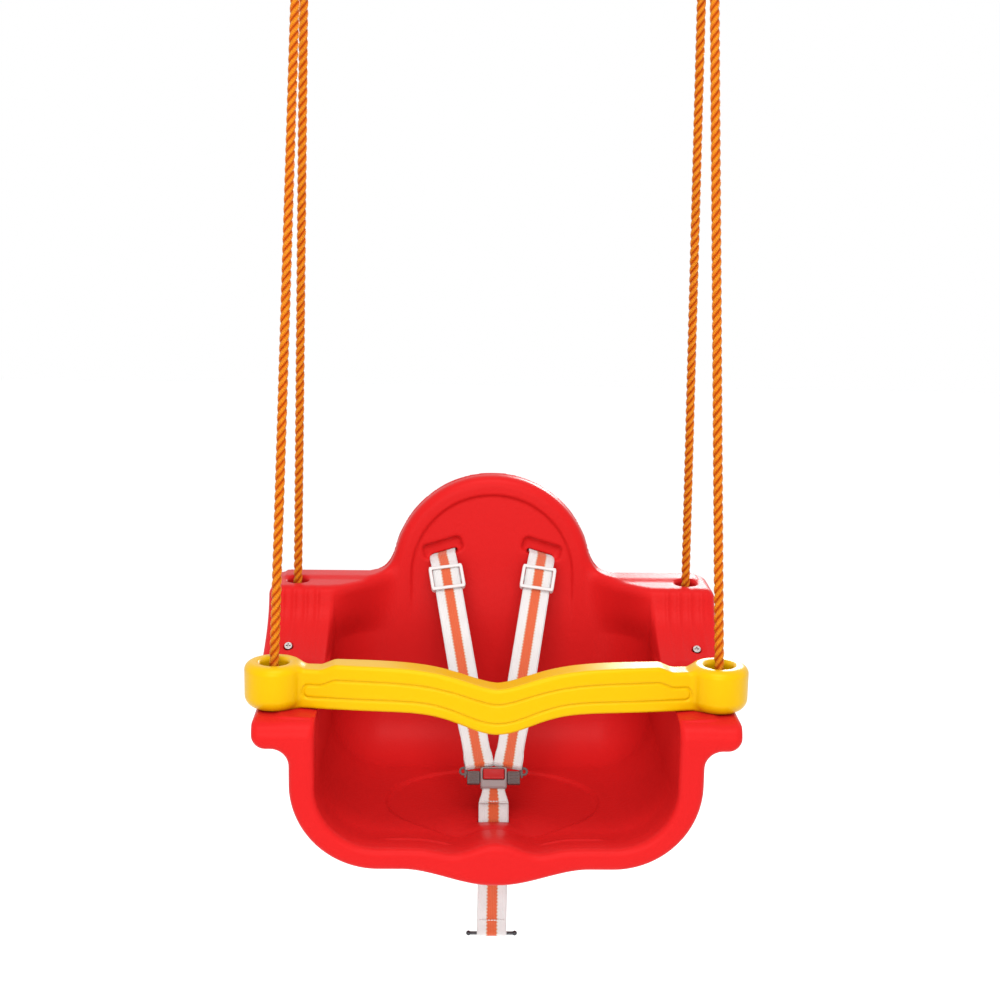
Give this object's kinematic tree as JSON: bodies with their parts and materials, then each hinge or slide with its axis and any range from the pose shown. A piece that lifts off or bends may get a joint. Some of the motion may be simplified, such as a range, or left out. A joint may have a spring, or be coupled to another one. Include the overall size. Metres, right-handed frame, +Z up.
{
  "type": "toddler bucket swing seat",
  "caption": "High-back toddler swing seat hung on two looped ropes, with a sliding guard bar, a three-point harness and steel hanging rings.",
  "frame": {"origin": "midway between the two hanging rings, on the line through their lower wires that the seat swings about", "axes": "+Z up, +Y towards the seat's back, +X to the right of someone who faces the seat"},
  "size_m": [0.431, 0.2994, 1.024],
  "materials": {
    "shell_red": "moulded polyethylene, satin gloss",
    "bar_yellow": "moulded polyethylene, satin gloss",
    "zinc_steel": "zinc plated",
    "thimble_plastic": "natural nylon",
    "rope_orange": "three-strand twisted polypropylene",
    "screw_steel": "plated",
    "webbing": "woven, white with an orange centre stripe",
    "dark_steel": "blackened wire",
    "adjuster_white": "moulded",
    "buckle_grey": "moulded, fine texture",
    "button_red": "moulded",
    "spring_steel": "spring temper"
  },
  "bodies": {
    "hanger": {"ring_left": "zinc_steel", "ring_right": "zinc_steel"},
    "seat": {"seat_shell": "shell_red", "thimble_left": "thimble_plastic", "thimble_right": "thimble_plastic", "rope_left": "rope_orange", "rope_right": "rope_orange", "knots_left": "rope_orange", "knots_right": "rope_orange", "rope_washers": "zinc_steel", "column_screws": "screw_steel", "shoulder_strap_left": "webbing", "shoulder_strap_right": "webbing", "strap_stop_left": "dark_steel", "strap_stop_right": "dark_steel", "buckle_front": "buckle_grey", "buckle_back": "buckle_grey", "buckle_spring": "spring_steel", "crotch_strap": "webbing", "crotch_stop": "dark_steel"},
    "bar": {"guard_bar": "bar_yellow"},
    "button": {"buckle_button": "button_red"},
    "tongue_left": {"tongue_left": "buckle_grey", "strap_end_left": "webbing"},
    "tongue_right": {"tongue_right": "buckle_grey", "strap_end_right": "webbing"},
    "adjuster_left": {"adjuster_left": "adjuster_white"},
    "adjuster_right": {"adjuster_right": "adjuster_white"}
  },
  "joints": [
    {"name": "swing", "type": "hinge", "parent": "hanger", "child": "seat", "pos_m": [0, 0, 0], "axis": [1, 0, 0], "range_deg": [-38, 38]},
    {"name": "bar_lift", "type": "slide", "parent": "seat", "child": "bar", "axis": [0, 0.1624, 0.9867], "range_m": [0, 0.2]},
    {"name": "button_press", "type": "slide", "parent": "seat", "child": "button", "axis": [0, 0.848, -0.5299], "range_m": [0, 0.0022], "stiffness_N_per_m": 400, "springref_m": -0.001},
    {"name": "tongue_left_out", "type": "slide", "parent": "seat", "child": "tongue_left", "axis": [-1, 0, 0], "range_m": [0, 0.018], "deforming": ["shoulder_strap_left"]},
    {"name": "tongue_right_out", "type": "slide", "parent": "seat", "child": "tongue_right", "axis": [1, 0, 0], "range_m": [0, 0.018], "deforming": ["shoulder_strap_right"]},
    {"name": "adjuster_left_slide", "type": "slide", "parent": "seat", "child": "adjuster_left", "axis": [0.1575, -0.6904, -0.7061], "range_m": [0, 0.1]},
    {"name": "adjuster_right_slide", "type": "slide", "parent": "seat", "child": "adjuster_right", "axis": [-0.1575, -0.6904, -0.7061], "range_m": [0, 0.1]}
  ]
}
